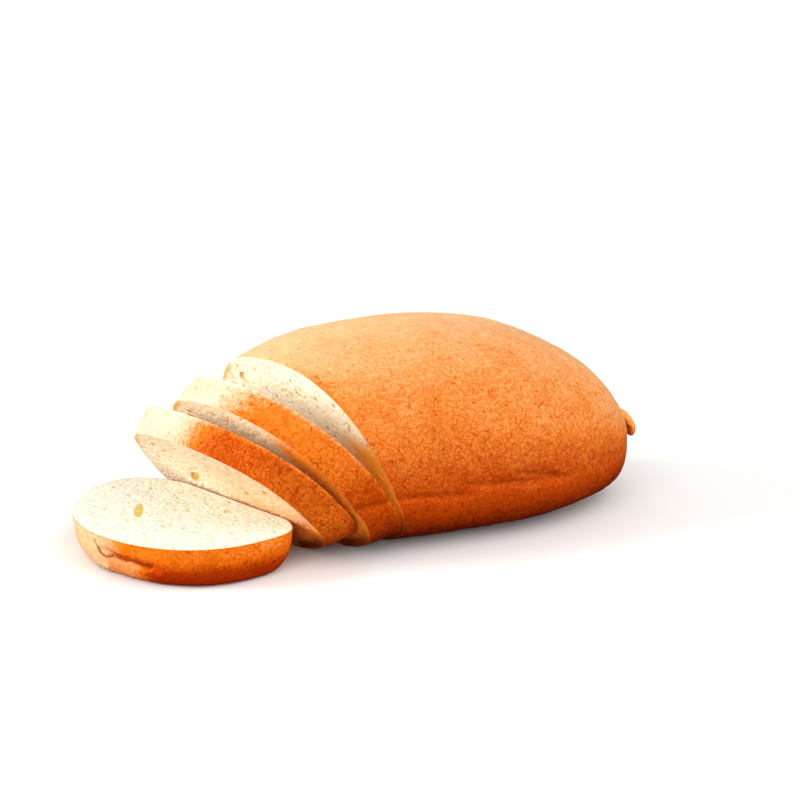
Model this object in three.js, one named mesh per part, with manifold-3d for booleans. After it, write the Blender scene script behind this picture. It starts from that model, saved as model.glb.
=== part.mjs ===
// A soft oval loaf of wheat bread, partly sliced. The uncut part stands on its flat underside,
// two slices have toppled to the left of it, and the end piece lies flat with its cut face up.
// Millimetres, +Z up. The loaf's long axis is X, the slices lie towards -X.

import * as THREE from 'three';
import { mergeVertices } from 'three/addons/utils/BufferGeometryUtils.js';
import Module from 'manifold-3d';

const wasm = await Module();
wasm.setup();

const DEGREE = Math.PI / 180;

// The whole loaf, as it was baked
const HALF_LENGTH = 146.5;
const HALF_WIDTH = 86.5;
const HEIGHT = 116.6;
const WIDEST_LEVEL = 34.7;

// How full the loaf stays towards its ends, and how round its section is
const PLAN_POWER = 2.57;
const PLAN_ROOT = 2.1;
const CROWN_POWER = 2.28;
const CROWN_ROOT = 1.67;
const UPPER_ROUNDNESS = 2.43;
const LOWER_ROUNDNESS = 2.37;
const FOOT_DEPTH = 1.12;

// The knife's plane through the uncut part's face: it crosses the loaf aslant and leans to the left
const CUT_X = -41.25;
const CUT_SKEW = -0.22;
const CUT_LEAN = -0.4;

// The slices, from the uncut part outwards
const SLICES = [
  {
    name: 'slice_upper',
    thickness: 18.5,
    topple: 13.4 * DEGREE,
    yaw: 4.0 * DEGREE,
    roll: 1.3 * DEGREE,
    bow: 3.0,
    slide: [-5.7, -4.3],
    hole: null,
  },
  {
    name: 'slice_lower',
    thickness: 17.7,
    topple: 21.5 * DEGREE,
    yaw: 6.2 * DEGREE,
    roll: 1.1 * DEGREE,
    bow: 3.5,
    slide: [-11.2, -1.5],
    hole: { across: 28.5, up: 40, width: 8, height: 6.5, depth: 4.5, turn: 0 },
  },
];

// The end piece, lying on its rounded end: the outline of its cut face, and how far its base draws in
const HEEL_FOOT = [-110.6, -8.6];
const HEEL_HEIGHT = 24.5;
const HEEL_YAW = 5.9 * DEGREE;
const HEEL_HALF_WIDTH = 72;
const HEEL_LENGTH = 96;
const HEEL_WIDEST_LEVEL = 30;
const HEEL_FRONT_ROUNDNESS = { upper: 2.25, lower: 3.4 };
const HEEL_BACK_ROUNDNESS = { upper: 1.85, lower: 2.4 };
const HEEL_BASE_ACROSS = 0.8;
const HEEL_BASE_UP = 0.64;
const HEEL_CENTRE_UP = 46;
const HEEL_FULLNESS = 0.6;
const HEEL_HOLE = { across: 19, up: 51, width: 5.5, height: 27, depth: 3.5, turn: 48 * DEGREE };

// The uncut part's one large hole
const LOAF_HOLE = { across: 46, up: 88.5, width: 8, height: 6.5, depth: 5, turn: 0 };

// Relief in the crust
const CREASE_HALF_WIDTH = 2.6;
const CREASE_FADE = 16;
const CREASES = [
  { from: -72, to: 16, level: 40.6, fall: -0.09, depth: 1.3 },
  { from: 0, to: 82, level: 40.6, fall: -0.085, depth: 1.6 },
  { from: 32, to: 78, level: 44.6, fall: -0.22, depth: 1.2 },
];

// The crust's gentle unevenness: waves by size, turn to the millimetre on each axis, and start
const WAVES = [
  { size: 0.21, x: 0.061, y: 0.052, z: 0, start: 1.7 },
  { size: 0.21, x: 0.061, y: -0.052, z: 0, start: 0.5 },
  { size: 0.3, x: 0.094, y: 0, z: -0.07, start: 2.3 },
  { size: 0.21, x: 0.05, y: 0.12, z: 0, start: 1.57 },
];
const RELIEF_CORE = 12;

// The tear in the end piece's crust, by angle round the piece from its back end
const TEAR_FROM = 88 * DEGREE;
const TEAR_TO = 127 * DEGREE;
const TEAR_FADE = 8 * DEGREE;
const TEAR_TOP = 16;
const TEAR_FALL = 7;
const TEAR_DEPTH = 3;
const TEAR_HALF_WIDTH = 2.4;

// The knob of dough at the right tip, curled over and hanging clear of the crust below
const KNOB_PATH = [
  [139, -2, 41],
  [148.5, -2.5, 43],
  [154, -4, 37.5],
  [156.5, -5, 29],
];
const KNOB_HALF_WIDTH = 7;
const KNOB_HALF_THICKNESS = 3.4;
const KNOB_TAPER = 0.25;
const KNOB_ROUND_FROM = 0.72;
const KNOB_ROUND_OVER = 0.3;

// Facets
const RING_POINTS = 80;
const LOAF_ROWS = 30;
const TIP_SHARE = 0.9996;
const SLICE_ROWS = 4;
const FACE_SHARES = [0.2, 0.45, 0.7, 0.88, 1];
const HEEL_ROWS = 14;
const KNOB_RING_POINTS = 16;
const KNOB_ROWS = 10;
const POCKET_DETAIL = 2;

// How a crust point is brought onto the knife's plane, and how near points must be to be one
const PLANE_STEPS = 24;
const PLANE_STEP_SHARE = 0.5;
const WELD = 1e-4;

// Unit vectors of the knife's plane: through the loaf, across it to the back, and up the face
const cutNormal = new THREE.Vector3(1, -CUT_SKEW, -CUT_LEAN).normalize();
const cutAcross = new THREE.Vector3(0, 0, 1).cross(cutNormal).normalize();
const cutUp = new THREE.Vector3().crossVectors(cutNormal, cutAcross);
const sliceStep = (thickness) => thickness / cutNormal.x;

function signedPower(value, power) {
  return Math.sign(value) * Math.abs(value) ** power;
}

function smoothstep(from, to, value) {
  const t = Math.min(Math.max((value - from) / (to - from), 0), 1);
  return t * t * (3 - 2 * t);
}

// A point on a rounded section with a flat foot: across from its middle line, and up from the foot
function sectionPoint(angle, halfWidth, widestLevel, rise, drop, upperRoundness, lowerRoundness) {
  const sine = Math.sin(angle);
  const power = 2 / (sine >= 0 ? upperRoundness : lowerRoundness);
  const across = halfWidth * signedPower(Math.cos(angle), power);
  return [across, widestLevel + (sine >= 0 ? rise : drop) * signedPower(sine, power)];
}

// Outward relief of the crust at a place on the loaf
function crustRelief(x, y, z) {
  let relief = 0;
  for (const wave of WAVES) {
    relief += wave.size * Math.sin(wave.x * x + wave.y * y + wave.z * z + wave.start);
  }
  if (y < 0) {
    for (const crease of CREASES) {
      const level = crease.level + crease.fall * (x - crease.from);
      const start = smoothstep(crease.from, crease.from + CREASE_FADE, x);
      const end = 1 - smoothstep(crease.to - CREASE_FADE, crease.to, x);
      relief -= crease.depth * start * end * Math.exp(-(((z - level) / CREASE_HALF_WIDTH) ** 2));
    }
  }
  return relief;
}

// A point of the baked loaf's crust: x along the loaf, angle round its section from the back over the top
function crustPoint(x, angle) {
  const along = Math.min(Math.abs(x) / HALF_LENGTH, 1);
  const plan = (1 - along ** PLAN_POWER) ** (1 / PLAN_ROOT);
  const crown = (1 - along ** CROWN_POWER) ** (1 / CROWN_ROOT);
  const rise = (HEIGHT - WIDEST_LEVEL) * crown;
  const drop = WIDEST_LEVEL * FOOT_DEPTH * Math.sqrt(plan);
  const [y, z] = sectionPoint(
    angle, HALF_WIDTH * plan, WIDEST_LEVEL, rise, drop, UPPER_ROUNDNESS, LOWER_ROUNDNESS);
  const reach = Math.hypot(y, z - WIDEST_LEVEL);
  const grow = 1 + crustRelief(x, y, z) / Math.max(reach, RELIEF_CORE);
  return new THREE.Vector3(x, y * grow, Math.max(WIDEST_LEVEL + (z - WIDEST_LEVEL) * grow, 0));
}

// The crust's point at an angle on the knife's plane moved to the left by a shift
function crustAtCut(angle, shift) {
  let x = CUT_X - shift;
  let point = crustPoint(x, angle);
  for (let step = 0; step < PLANE_STEPS; step += 1) {
    const onPlane = CUT_X - shift + CUT_SKEW * point.y + CUT_LEAN * point.z;
    x += PLANE_STEP_SHARE * (onPlane - x);
    point = crustPoint(x, angle);
  }
  return point;
}

function ringAngles(count) {
  return Array.from({ length: count }, (_, index) => (index / count) * 2 * Math.PI);
}

function middle(ring) {
  return ring.reduce((sum, point) => sum.add(point), new THREE.Vector3()).divideScalar(ring.length);
}

// A closed solid through rings of points, each ring turning about the way to the next one
function loft(rings) {
  const count = rings[0].length;
  const centres = [rings[0], rings[rings.length - 1]].map(middle);
  const points = [...rings.flat(), ...centres];
  const first = rings.length * count;
  const last = first + 1;
  const faces = [];
  for (let side = 0; side < count; side += 1) {
    const next = (side + 1) % count;
    for (let row = 0; row + 1 < rings.length; row += 1) {
      const a = row * count + side;
      const b = row * count + next;
      faces.push(a, b, a + count, b, b + count, a + count);
    }
    const end = (rings.length - 1) * count;
    faces.push(first, next, side, last, end + side, end + next);
  }
  const geometry = new THREE.BufferGeometry();
  geometry.setAttribute('position', new THREE.Float32BufferAttribute(points.flatMap((p) => p.toArray()), 3));
  geometry.setIndex(faces);
  return geometry;
}

function toSolid(geometry) {
  const bare = geometry.clone();
  bare.deleteAttribute('normal');
  bare.deleteAttribute('uv');
  const merged = mergeVertices(bare, WELD);
  return new wasm.Manifold(new wasm.Mesh({
    numProp: 3,
    vertProperties: new Float32Array(merged.attributes.position.array),
    triVerts: new Uint32Array(merged.index.array),
  }));
}

function toGeometry(solid) {
  const mesh = solid.getMesh();
  const geometry = new THREE.BufferGeometry();
  geometry.setAttribute('position', new THREE.BufferAttribute(new Float32Array(mesh.vertProperties), 3));
  geometry.setIndex(new THREE.BufferAttribute(new Uint32Array(mesh.triVerts), 1));
  geometry.computeVertexNormals();
  return geometry;
}

// The air pocket that opens in a cut face: an ellipsoid on the face, sunk into the crumb
function airPocket(hole, origin, across, up, normal) {
  const pocket = new THREE.IcosahedronGeometry(1, POCKET_DETAIL);
  pocket.scale(hole.width / 2, hole.height / 2, hole.depth);
  pocket.rotateZ(hole.turn);
  pocket.applyMatrix4(new THREE.Matrix4().makeBasis(across, up, normal));
  const place = origin.clone().addScaledVector(across, hole.across).addScaledVector(up, hole.up);
  pocket.translate(place.x, place.y, place.z);
  return toSolid(pocket);
}

// The knob: flat oval sections along a curled path, drawn in at the free end
function knobSolid() {
  const path = new THREE.CatmullRomCurve3(KNOB_PATH.map((point) => new THREE.Vector3(...point)));
  const rings = [];
  for (let row = 0; row <= KNOB_ROWS; row += 1) {
    const along = row / KNOB_ROWS;
    const centre = path.getPointAt(along);
    const ahead = path.getTangentAt(along);
    const side = new THREE.Vector3(0, 1, 0).addScaledVector(ahead, -ahead.y).normalize();
    const lift = new THREE.Vector3().crossVectors(ahead, side);
    const draw = Math.sqrt(1 - Math.max(0, (along - KNOB_ROUND_FROM) / KNOB_ROUND_OVER) ** 2);
    const width = KNOB_HALF_WIDTH * draw * (1 - KNOB_TAPER * along);
    rings.push(ringAngles(KNOB_RING_POINTS).map((angle) => centre.clone()
      .addScaledVector(side, width * Math.cos(angle))
      .addScaledVector(lift, KNOB_HALF_THICKNESS * draw * Math.sin(angle))));
  }
  return toSolid(loft(rings));
}

// The uncut part, from its cut face to the right tip
function uncutLoaf() {
  const starts = ringAngles(RING_POINTS).map((angle) => crustAtCut(angle, 0).x);
  const rings = [];
  for (let row = 0; row <= LOAF_ROWS; row += 1) {
    const share = Math.sin((row / LOAF_ROWS) * 0.5 * Math.PI) * TIP_SHARE;
    rings.push(ringAngles(RING_POINTS).map((angle, index) =>
      crustPoint(starts[index] + (HALF_LENGTH - starts[index]) * share, angle)));
  }
  const origin = new THREE.Vector3(CUT_X, 0, 0);
  const hole = airPocket(LOAF_HOLE, origin, cutAcross, cutUp, cutNormal);
  return toGeometry(toSolid(loft(rings)).add(knobSolid()).subtract(hole));
}

// A ring drawn in towards its own centre
function shrink(ring, share) {
  const centre = middle(ring);
  return ring.map((point) => centre.clone().lerp(point, share));
}

// A slice, about the foot of its left face and bowed towards the loaf as a soft slice stands
function sliceGeometry(slice, shift) {
  const leftShift = shift + sliceStep(slice.thickness);
  const foot = new THREE.Vector3(CUT_X - leftShift, 0, 0);
  const ringAt = (ringShift) =>
    ringAngles(RING_POINTS).map((angle) => crustAtCut(angle, ringShift).sub(foot));
  const left = ringAt(leftShift);
  const right = ringAt(shift);
  const top = Math.max(...right.map((point) => point.dot(cutUp)));
  const bowed = (point) => {
    const height = Math.min(Math.max(point.dot(cutUp) / top, 0), 1);
    return point.clone().addScaledVector(cutNormal, 4 * slice.bow * height * (1 - height));
  };
  const between = Array.from({ length: SLICE_ROWS - 1 }, (_, row) =>
    ringAt(leftShift + ((shift - leftShift) * (row + 1)) / SLICE_ROWS));
  const rings = [
    ...FACE_SHARES.map((share) => shrink(left, share)),
    ...between,
    ...FACE_SHARES.toReversed().map((share) => shrink(right, share)),
  ].map((ring) => ring.map(bowed));
  const solid = toSolid(loft(rings));
  if (!slice.hole) return toGeometry(solid);
  const { across, up } = slice.hole;
  const place = bowed(cutAcross.clone().multiplyScalar(across).addScaledVector(cutUp, up));
  return toGeometry(solid.subtract(airPocket(slice.hole, place, cutAcross, cutUp, cutNormal)));
}

// The tear round the end piece's crust, running down from under the cut face
function tearRelief(angle, z) {
  const start = smoothstep(TEAR_FROM, TEAR_FROM + TEAR_FADE, angle);
  const end = 1 - smoothstep(TEAR_TO - TEAR_FADE, TEAR_TO, angle);
  const level = TEAR_TOP - TEAR_FALL * (angle - TEAR_FROM);
  return -TEAR_DEPTH * start * end * Math.exp(-(((z - level) / TEAR_HALF_WIDTH) ** 2));
}

// The end piece: the loaf's flat foot makes its outline's straight side, and its base is pressed flat
function heelGeometry() {
  const outline = ringAngles(RING_POINTS).map((angle) => {
    const roundness = Math.cos(angle) < 0 ? HEEL_FRONT_ROUNDNESS : HEEL_BACK_ROUNDNESS;
    const [across, up] = sectionPoint(
      angle, HEEL_HALF_WIDTH, HEEL_WIDEST_LEVEL, HEEL_LENGTH - HEEL_WIDEST_LEVEL,
      HEEL_WIDEST_LEVEL * FOOT_DEPTH, roundness.upper, roundness.lower);
    return new THREE.Vector2(across, Math.max(up, 0) - HEEL_CENTRE_UP);
  });
  const rings = [];
  for (let row = 0; row <= HEEL_ROWS; row += 1) {
    const turn = 0.5 * Math.PI * (1 - row / HEEL_ROWS);
    const fullness = Math.cos(turn) ** HEEL_FULLNESS;
    const z = HEEL_HEIGHT * (1 - Math.sin(turn));
    rings.push(outline.map((point, index) => {
      const angle = (index / RING_POINTS) * 2 * Math.PI;
      const reach = point.length();
      const tear = row < HEEL_ROWS ? tearRelief(angle, z) / reach : 0;
      const x = point.x * (HEEL_BASE_ACROSS + (1 - HEEL_BASE_ACROSS) * fullness + tear);
      const y = point.y * (HEEL_BASE_UP + (1 - HEEL_BASE_UP) * fullness + tear);
      return new THREE.Vector3(x, y + HEEL_CENTRE_UP, z);
    }));
  }
  const [across, up, above] = [0, 1, 2].map((axis) => new THREE.Vector3().setComponent(axis, 1));
  const hole = airPocket(HEEL_HOLE, above.clone().multiplyScalar(HEEL_HEIGHT), across, up, above);
  return toGeometry(toSolid(loft(rings)).subtract(hole));
}

function lowestPoint(mesh) {
  mesh.updateMatrixWorld(true);
  return new THREE.Box3().setFromObject(mesh, true).min.z;
}

const crustMaterial = (colour) =>
  new THREE.MeshStandardMaterial({ color: colour, roughness: 0.75, metalness: 0 });

const bread = new THREE.Group();

const loaf = new THREE.Mesh(uncutLoaf(), crustMaterial('#d9873c'));
loaf.name = 'loaf';
bread.add(loaf);

// Each slice keeps its foot by its neighbour's and falls to the left, its lowest edge on the surface
const vertical = new THREE.Vector3(0, 0, 1);
const acrossLevel = new THREE.Vector3(cutNormal.x, cutNormal.y, 0).normalize();
let shift = 0;
for (const slice of SLICES) {
  const mesh = new THREE.Mesh(sliceGeometry(slice, shift), crustMaterial('#d68238'));
  mesh.name = slice.name;
  mesh.quaternion
    .setFromAxisAngle(vertical, slice.yaw)
    .multiply(new THREE.Quaternion().setFromAxisAngle(acrossLevel, slice.roll))
    .multiply(new THREE.Quaternion().setFromAxisAngle(cutAcross, -slice.topple));
  shift += sliceStep(slice.thickness);
  mesh.position.set(CUT_X - shift + slice.slide[0], slice.slide[1], 0);
  mesh.position.z = -lowestPoint(mesh);
  bread.add(mesh);
}

const heel = new THREE.Mesh(heelGeometry(), crustMaterial('#d37a30'));
heel.name = 'heel';
heel.position.set(HEEL_FOOT[0], HEEL_FOOT[1], 0);
heel.rotation.z = Math.atan2(cutAcross.y, cutAcross.x) + HEEL_YAW;
bread.add(heel);

// The origin is at the middle of the whole set's footprint, on the surface
bread.updateMatrixWorld(true);
const box = new THREE.Box3().setFromObject(bread, true);
bread.position.set(-(box.min.x + box.max.x) / 2, -(box.min.y + box.max.y) / 2, -box.min.z);

const part = new THREE.Group();
part.add(bread);

export default part;
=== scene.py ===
# A soft oval loaf of wheat bread, partly sliced: the uncut part with its curled knob, two
# slices that have toppled to the left of it, and the end piece lying flat, cut face up.

import bpy
import numpy as np
from mathutils import Matrix, Vector


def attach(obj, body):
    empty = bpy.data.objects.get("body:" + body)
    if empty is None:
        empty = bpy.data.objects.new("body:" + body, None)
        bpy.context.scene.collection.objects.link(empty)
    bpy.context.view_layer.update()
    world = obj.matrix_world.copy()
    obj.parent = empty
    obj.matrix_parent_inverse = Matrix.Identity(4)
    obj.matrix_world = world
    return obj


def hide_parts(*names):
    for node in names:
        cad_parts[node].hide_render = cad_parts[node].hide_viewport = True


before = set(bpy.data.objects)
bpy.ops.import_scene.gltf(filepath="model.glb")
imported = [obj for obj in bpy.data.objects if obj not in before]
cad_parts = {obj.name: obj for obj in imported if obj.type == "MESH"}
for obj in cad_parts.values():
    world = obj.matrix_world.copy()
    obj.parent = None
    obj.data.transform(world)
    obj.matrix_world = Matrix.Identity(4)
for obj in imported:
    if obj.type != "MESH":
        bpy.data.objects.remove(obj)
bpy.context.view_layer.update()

# The uncut part of the loaf. A soft wheat dough, proved and baked on its flat foot, with a
# thin leathery crust: pale on the crown and deep gold low down, partly painted light and shade, and
# folded over itself in three shallow creases. The knife has opened its left end, so the crumb shows
# inside the crust.

MM = 0.001
LOAF_ORIGIN = np.array([23.13, 2.31, 0.0])

HALF_LENGTH = 146.5
HALF_WIDTH = 86.5
HEIGHT = 116.6
WIDEST_LEVEL = 34.7
PLAN_POWER = 2.57
PLAN_ROOT = 2.1
CROWN_POWER = 2.28
CROWN_ROOT = 1.67
UPPER_ROUNDNESS = 2.43
LOWER_ROUNDNESS = 2.37
FOOT_DEPTH = 1.12
TIP_SHARE = 0.9996

CUT_X = -41.25
CUT_SKEW = -0.22
CUT_LEAN = -0.4

CREASE_HALF_WIDTH = 2.6
CREASE_LINE_DEPTH = 0.35
CREASE_LINE_HALF_WIDTH = 0.8
CREASE_FADE = 16
CREASES = [
    {"start": -72, "end": 16, "level": 40.6, "fall": -0.09, "depth": 1.3},
    {"start": 0, "end": 82, "level": 40.6, "fall": -0.085, "depth": 1.6},
    {"start": 32, "end": 78, "level": 44.6, "fall": -0.22, "depth": 1.2},
]
CREASE_WANDER = [{"size": 0.5, "turn": 0.21, "start": 0}, {"size": 0.3, "turn": 0.5, "start": 1}]
CRUST_WAVES = [
    {"size": 0.21, "turn": (0.061, 0.052, 0), "start": 1.7},
    {"size": 0.21, "turn": (0.061, -0.052, 0), "start": 0.5},
    {"size": 0.3, "turn": (0.094, 0, -0.07), "start": 2.3},
    {"size": 0.21, "turn": (0.05, 0.12, 0), "start": 1.57},
]
RELIEF_CORE = 12

WRINKLES = [
    {"cell": 9.0, "height": 0.22},
    {"cell": 3.4, "height": 0.16},
    {"cell": 1.9, "height": 0.1},
]
SKIN_FADE = 3
CRUST_SEED = 60
CRUST_PATCHES = [{"cell": 24.0, "height": 0.04}, {"cell": 9.0, "height": 0.03}]
PATCH_SEED = 70
PALE_EDGE_SEED = 72
RAGGED_RIM = [{"cell": 7.0, "height": 0.3}, {"cell": 2.5, "height": 0.15}]
KNIFE_DRAG = [{"cell": 7.0, "height": 0.25}, {"cell": 2.3, "height": 0.1}]

FINE_PORES = {"cell": 3.1, "share": 0.8, "radius": (0.6, 1.4), "depth": (0.25, 0.6)}
WIDE_PORES = {"cell": 9.0, "share": 0.45, "radius": (1.1, 2.3), "depth": (0.5, 1.2)}
PORE_STRETCH = 0.9
PORE_BOWL_POWER = 0.8
LOAF_HOLE = {"across": 44.5, "up": 88.5, "width": 11, "height": 7.5, "depth": 2.3, "turn": 0}

CROWN_TONE = 0.01
FRONT_TONE = 0.4
SIDE_TONE = 0.1
LEFT_CROWN_PAINTED_LIGHT = 0.06
PALER_RIGHT = 0.05
LOW_BACK_TONE = 0.25
BEHIND_TIP_TONE = 0.3
LEFT_END_TONE = 0.6
LEFT_END_BACK_TONE = 0.5
OUTER_FRONT_TONE = 0.25
PALER_OUTER_SIDE = 0.54
LOW_SIDE_TONE = 0.34
FOOT_TONE = 0.56
CREASE_PAINTED_SHADE = 0.15
LOAF_PAINTED_SHADE = (82, 64, 0.08)

FACE_CELLS = 200
LOAF_ROWS = 140
PLANE_STEPS = 30
LOAF_RIM_SEED = 50
LOAF_CRUMB_SEED = 1


def signed_power(value, power):
    return np.sign(value) * np.abs(value) ** power


def smooth(start, end, value):
    t = np.clip((value - start) / (end - start), 0, 1)
    return t * t * (3 - 2 * t)


def unit(vectors):
    return vectors / np.maximum(np.linalg.norm(vectors, axis=-1, keepdims=True), 1e-12)


def lattice_value(cells, seed):
    """A steady value from 0 to 1 for each whole-numbered lattice cell."""
    turn = np.uint32(seed * 747796405 % 4294967296)
    for axis, step in enumerate((374761393, 668265263, 2246822519)):
        turn = (turn ^ (cells[..., axis].astype(np.uint32) * np.uint32(step))) * np.uint32(2654435761)
        turn = turn ^ (turn >> np.uint32(15))
    return turn.astype(float) / 4294967295.0


def soft_noise(points, cell, seed):
    """Smooth noise from -1 to 1 that changes over about one cell."""
    place = points / cell
    low = np.floor(place)
    inside = place - low
    inside = inside * inside * (3 - 2 * inside)
    total = np.zeros(points.shape[:-1])
    for corner in np.ndindex(2, 2, 2):
        share = np.prod(np.where(np.array(corner) == 1, inside, 1 - inside), axis=-1)
        total += share * lattice_value((low + corner).astype(np.int64), seed)
    return total * 2 - 1


def layered_noise(points, layers, seed):
    """Smooth noise of several sizes, one on another."""
    total = np.zeros(points.shape[:-1])
    for turn, layer in enumerate(layers):
        total += layer["height"] * soft_noise(points, layer["cell"], seed + turn)
    return total


def section_point(angle, half_width, widest, rise, drop, upper, lower):
    """Across and up of a rounded section with a flat foot."""
    sine = np.sin(angle)
    power = 2 / np.where(sine >= 0, upper, lower)
    across = half_width * signed_power(np.cos(angle), power)
    return across, widest + np.where(sine >= 0, rise, drop) * signed_power(sine, power)


def crease_at(x, y, z):
    """How deep the creases are at a place on the crust, in mm, and how near their inner line is."""
    fold = np.zeros_like(x)
    line = np.zeros_like(x)
    for crease in CREASES:
        level = crease["level"] + crease["fall"] * (x - crease["start"])
        reach = smooth(crease["start"], crease["start"] + CREASE_FADE, x)
        reach = reach * (1 - smooth(crease["end"] - CREASE_FADE, crease["end"], x)) * (y < 0)
        reach = reach * crease["depth"]
        fold += reach * np.exp(-(((z - level) / CREASE_HALF_WIDTH) ** 2))
        wander = level
        for wave in CREASE_WANDER:
            wander = wander + wave["size"] * np.sin(wave["turn"] * x + wave["start"])
        line += reach * np.exp(-(((z - wander) / CREASE_LINE_HALF_WIDTH) ** 2))
    return fold, line


def crust_point(x, angle):
    """The baked loaf's crust: x along the loaf, angle round its section from the back over the top."""
    along = np.clip(np.abs(x) / HALF_LENGTH, 0, 1)
    plan = (1 - along**PLAN_POWER) ** (1 / PLAN_ROOT)
    crown = (1 - along**CROWN_POWER) ** (1 / CROWN_ROOT)
    y, z = section_point(
        angle, HALF_WIDTH * plan, WIDEST_LEVEL, (HEIGHT - WIDEST_LEVEL) * crown,
        WIDEST_LEVEL * FOOT_DEPTH * np.sqrt(plan), UPPER_ROUNDNESS, LOWER_ROUNDNESS)
    relief = -crease_at(x, y, z)[0]
    for wave in CRUST_WAVES:
        turn = wave["turn"][0] * x + wave["turn"][1] * y + wave["turn"][2] * z
        relief += wave["size"] * np.sin(turn + wave["start"])
    grow = 1 + relief / np.maximum(np.hypot(y, z - WIDEST_LEVEL), RELIEF_CORE)
    up = np.maximum(WIDEST_LEVEL + (z - WIDEST_LEVEL) * grow, 0)
    return np.stack([x, y * grow, up], axis=-1)


cut_normal = unit(np.array([1, -CUT_SKEW, -CUT_LEAN]))
cut_across = unit(np.cross([0, 0, 1], cut_normal))
cut_up = np.cross(cut_normal, cut_across)


def crust_at_cut(angle, shift):
    """The crust at each angle, on the knife's plane moved to the left by a shift."""
    x = np.full(angle.shape, CUT_X - shift)
    point = crust_point(x, angle)
    for _ in range(PLANE_STEPS):
        x = x + 0.5 * (CUT_X - shift + CUT_SKEW * point[..., 1] + CUT_LEAN * point[..., 2] - x)
        point = crust_point(x, angle)
    return point


def even_angles(outline, count):
    """Angles that space an outline's points evenly along it."""
    fine = np.linspace(0, 2 * np.pi, 4001)
    steps = np.linalg.norm(np.diff(outline(fine), axis=0), axis=1)
    length = np.concatenate([[0], np.cumsum(steps)])
    return np.interp(np.arange(count) * length[-1] / count, length, fine)


def face_grid(cells):
    """A square grid drawn out to a disc: each point's share of the radius and of the way round,
    its triangles, and its outer points in their order round the rim."""
    half = cells // 2
    v, u = np.mgrid[-half:half + 1, -half:half + 1]
    ring = np.maximum(np.abs(u), np.abs(v))
    right = (u == ring) & (np.abs(v) <= ring)
    step = np.select(
        [right & (v >= 0), v == ring, u == -ring, v == -ring],
        [v, 2 * ring - u, 4 * ring - v, 6 * ring + u], 8 * ring + v)
    turn = np.where(ring > 0, step / np.maximum(8 * ring, 1), 0)
    index = np.arange((cells + 1) ** 2).reshape(cells + 1, cells + 1)
    a, b, c, d = index[:-1, :-1], index[:-1, 1:], index[1:, 1:], index[1:, :-1]
    same_way = (u[:-1, :-1] + 0.5) * (v[:-1, :-1] + 0.5) > 0
    first = np.where(same_way[..., None], np.stack([a, b, c], -1), np.stack([a, b, d], -1))
    second = np.where(same_way[..., None], np.stack([a, c, d], -1), np.stack([b, c, d], -1))
    triangles = np.concatenate([first.reshape(-1, 3), second.reshape(-1, 3)])
    edge = ring == half
    order = index[edge][np.argsort(step[edge])]
    return (ring / half).ravel(), turn.ravel(), triangles, order


def spread_face(rim, cells):
    """A face's points, drawn from its rim in to its middle, and how far each is from the rim."""
    share, turn, triangles, order = face_grid(cells)
    place = turn * len(rim)
    low = np.floor(place).astype(int) % len(rim)
    part = (place - np.floor(place))[:, None]
    edge = rim[low] * (1 - part) + rim[(low + 1) % len(rim)] * part
    centre = rim.mean(axis=0)
    points = centre + share[:, None] * (edge - centre)
    return points, (1 - share) * np.linalg.norm(edge - centre, axis=1), triangles, order


def pore_depth(across, up, kind, seed):
    """How deep the crumb's open cells are at places on a cut, in mm."""
    depth = np.zeros_like(across)
    column = np.floor(across / kind["cell"]) - 1
    row = np.floor(up / kind["cell"]) - 1
    for step in np.ndindex(3, 3):
        cell = np.stack([column + step[0], row + step[1], np.zeros_like(row)], -1).astype(np.int64)
        draw = [lattice_value(cell, seed + extra) for extra in range(7)]
        from_x = across - (cell[:, 0] + draw[0]) * kind["cell"]
        from_y = up - (cell[:, 1] + draw[1]) * kind["cell"]
        angle = draw[2] * np.pi
        radius = kind["radius"][0] + (kind["radius"][1] - kind["radius"][0]) * draw[3] ** 2
        stretch = 1 + PORE_STRETCH * draw[4]
        long = from_x * np.cos(angle) + from_y * np.sin(angle)
        short = from_y * np.cos(angle) - from_x * np.sin(angle)
        off = (long / (radius * stretch)) ** 2 + (short / radius) ** 2
        bowl = np.clip(1 - off, 0, 1) ** PORE_BOWL_POWER
        full = kind["depth"][0] + (kind["depth"][1] - kind["depth"][0]) * draw[5]
        depth = np.maximum(depth, np.where(draw[6] < kind["share"], full * bowl, 0))
    return depth


def hole_depth(across, up, hole):
    """How deep one large hole is at places on a cut, in mm."""
    from_x = across - hole["across"]
    from_y = up - hole["up"]
    along = from_x * np.cos(hole["turn"]) + from_y * np.sin(hole["turn"])
    aside = from_y * np.cos(hole["turn"]) - from_x * np.sin(hole["turn"])
    off = (2 * along / hole["width"]) ** 2 + (2 * aside / hole["height"]) ** 2
    return hole["depth"] * np.sqrt(np.clip(1 - off, 0, 1))


def crumb_depth(across, up, from_rim, holes, seed):
    """The depth of a cut's small and wide pores and large holes, and the same with the knife's drag."""
    fine = pore_depth(across, up, FINE_PORES, seed)
    wide = pore_depth(across, up, WIDE_PORES, seed + 20)
    pores = np.maximum(fine, wide) * smooth(0.8, 3.0, from_rim)
    for hole in holes:
        pores = np.maximum(pores, hole_depth(across, up, hole))
    place = np.stack([across, up, np.zeros_like(up)], -1)
    drag = layered_noise(place, KNIFE_DRAG, seed + 40)
    return pores, pores + drag * smooth(0, 4, from_rim)


def skin_relief(baked):
    """The crust's wrinkles, by place on the loaf as it was baked."""
    line = crease_at(baked[..., 0], baked[..., 1], baked[..., 2])[1]
    return layered_noise(baked, WRINKLES, CRUST_SEED) - CREASE_LINE_DEPTH * line


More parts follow.
